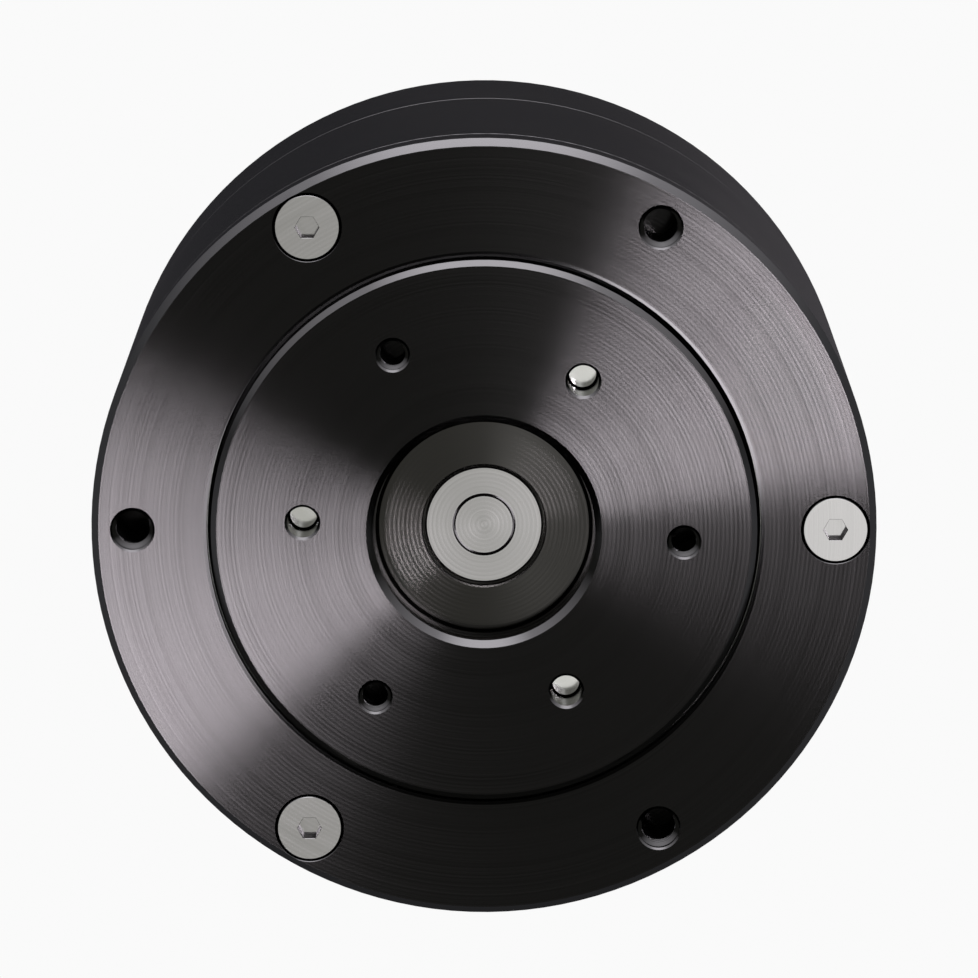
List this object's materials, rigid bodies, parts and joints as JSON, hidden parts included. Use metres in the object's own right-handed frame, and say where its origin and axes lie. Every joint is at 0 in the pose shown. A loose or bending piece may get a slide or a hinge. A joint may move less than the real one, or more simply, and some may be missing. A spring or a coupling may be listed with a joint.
{
  "type": "robot joint actuator",
  "caption": "Round robot joint actuator: fixed body with a turning output flange, driven by a brushless motor through planetary gears.",
  "frame": {"origin": "centre of the flat back, on which the part stands", "axes": "+Z along the axis and out of the output face, +X through one countersunk ring screw, +Y in the plane of the face and away from the connectors"},
  "size_m": [0.076, 0.076, 0.0564],
  "materials": {
    "black_anodised": "satin black anodised, turned",
    "satin_steel": "satin",
    "black_screws": "black oxide",
    "gear_steel": "ground",
    "bronze": "satin",
    "plain_aluminium": "fine turned",
    "core_steel": "laminated",
    "magnet": "nickel plated",
    "copper": "enamelled copper",
    "circuit_board": "solder mask",
    "chip_black": "matt",
    "capacitor": "matt",
    "socket_plastic": "moulded",
    "contact_gold": "plated",
    "seal_rubber": "matt",
    "bearing_steel": "polished",
    "cage_plastic": "moulded"
  },
  "bodies": {
    "root": {"front_ring": "black_anodised", "gear_housing": "black_anodised", "rear_housing": "black_anodised", "back_cover": "black_anodised", "front_ring_screws": "satin_steel", "long_screws": "black_screws", "back_cover_screws": "black_screws", "board_screws": "satin_steel", "gearbox_cover_screws": "satin_steel", "ring_gear": "gear_steel", "ring_gear_dowels": "gear_steel", "gearbox_cover": "plain_aluminium", "stator_core": "core_steel", "stator_windings": "copper", "phase_leads": "copper", "controller_board": "circuit_board", "power_transistors": "chip_black", "control_chip": "chip_black", "angle_sensors": "chip_black", "bus_capacitors": "capacitor", "power_socket": "socket_plastic", "signal_socket_left": "socket_plastic", "signal_socket_right": "socket_plastic", "power_pins": "contact_gold", "signal_pins": "contact_gold", "output_bearing_seals": "seal_rubber", "output_bearing_outer_race": "bearing_steel", "front_rotor_bearing_outer_race": "bearing_steel", "rear_rotor_bearing_outer_race": "bearing_steel"},
    "planet_1": {"planet_gear_1": "gear_steel", "planet_bush_1": "bronze"},
    "planet_2": {"planet_gear_2": "gear_steel", "planet_bush_2": "bronze"},
    "planet_3": {"planet_gear_3": "gear_steel", "planet_bush_3": "bronze"},
    "output": {"output_flange": "black_anodised", "carrier_plate": "plain_aluminium", "carrier_screws": "satin_steel", "planet_pins": "satin_steel", "centre_cap": "black_anodised", "centre_shaft": "satin_steel", "output_angle_magnet": "magnet", "output_bearing_inner_race": "bearing_steel"},
    "rotor": {"sun_gear": "gear_steel", "rotor_shaft": "gear_steel", "rotor_disc": "plain_aluminium", "rotor_ring": "core_steel", "rotor_magnets": "magnet", "rotor_angle_magnet": "magnet", "front_rotor_bearing_inner_race": "bearing_steel", "rear_rotor_bearing_inner_race": "bearing_steel"},
    "output_bearing_balls_and_cage": {"output_bearing_balls": "bearing_steel", "output_bearing_cage": "cage_plastic"},
    "front_rotor_bearing_balls_and_cage": {"front_rotor_bearing_balls": "bearing_steel", "front_rotor_bearing_cage": "cage_plastic"},
    "rear_rotor_bearing_balls_and_cage": {"rear_rotor_bearing_balls": "bearing_steel", "rear_rotor_bearing_cage": "cage_plastic"}
  },
  "joints": [
    {"name": "output_spin", "type": "hinge", "parent": "root", "child": "output", "pos_m": [0, 0, 0.0564], "axis": [0, 0, 1], "continuous": true},
    {"name": "rotor_spin", "type": "hinge", "parent": "root", "child": "rotor", "pos_m": [0, 0, 0.032], "axis": [0, 0, 1], "continuous": true},
    {"name": "planet_1_spin", "type": "hinge", "parent": "output", "child": "planet_1", "pos_m": [0.00956, 0.01472, 0.0412], "axis": [0, 0, 1], "continuous": true},
    {"name": "planet_2_spin", "type": "hinge", "parent": "output", "child": "planet_2", "pos_m": [-0.01753, 0.00092, 0.0412], "axis": [0, 0, 1], "continuous": true},
    {"name": "planet_3_spin", "type": "hinge", "parent": "output", "child": "planet_3", "pos_m": [0.00797, -0.01564, 0.0412], "axis": [0, 0, 1], "continuous": true},
    {"name": "output_bearing_roll", "type": "hinge", "parent": "root", "child": "output_bearing_balls_and_cage", "pos_m": [0, 0, 0.03], "axis": [0, 0, 1], "continuous": true},
    {"name": "front_rotor_bearing_roll", "type": "hinge", "parent": "root", "child": "front_rotor_bearing_balls_and_cage", "pos_m": [0, 0, 0.03], "axis": [0, 0, 1], "continuous": true},
    {"name": "rear_rotor_bearing_roll", "type": "hinge", "parent": "root", "child": "rear_rotor_bearing_balls_and_cage", "pos_m": [0, 0, 0.03], "axis": [0, 0, 1], "continuous": true}
  ],
  "couplings": [
    {"joint": "rotor_spin", "follows": "output_spin", "ratio": 6},
    {"joint": "planet_1_spin", "follows": "output_spin", "ratio": -2.5},
    {"joint": "planet_2_spin", "follows": "output_spin", "ratio": -2.5},
    {"joint": "planet_3_spin", "follows": "output_spin", "ratio": -2.5},
    {"joint": "output_bearing_roll", "follows": "output_spin", "ratio": 0.46155},
    {"joint": "front_rotor_bearing_roll", "follows": "output_spin", "ratio": 2.4286},
    {"joint": "rear_rotor_bearing_roll", "follows": "output_spin", "ratio": 2.4286}
  ]
}
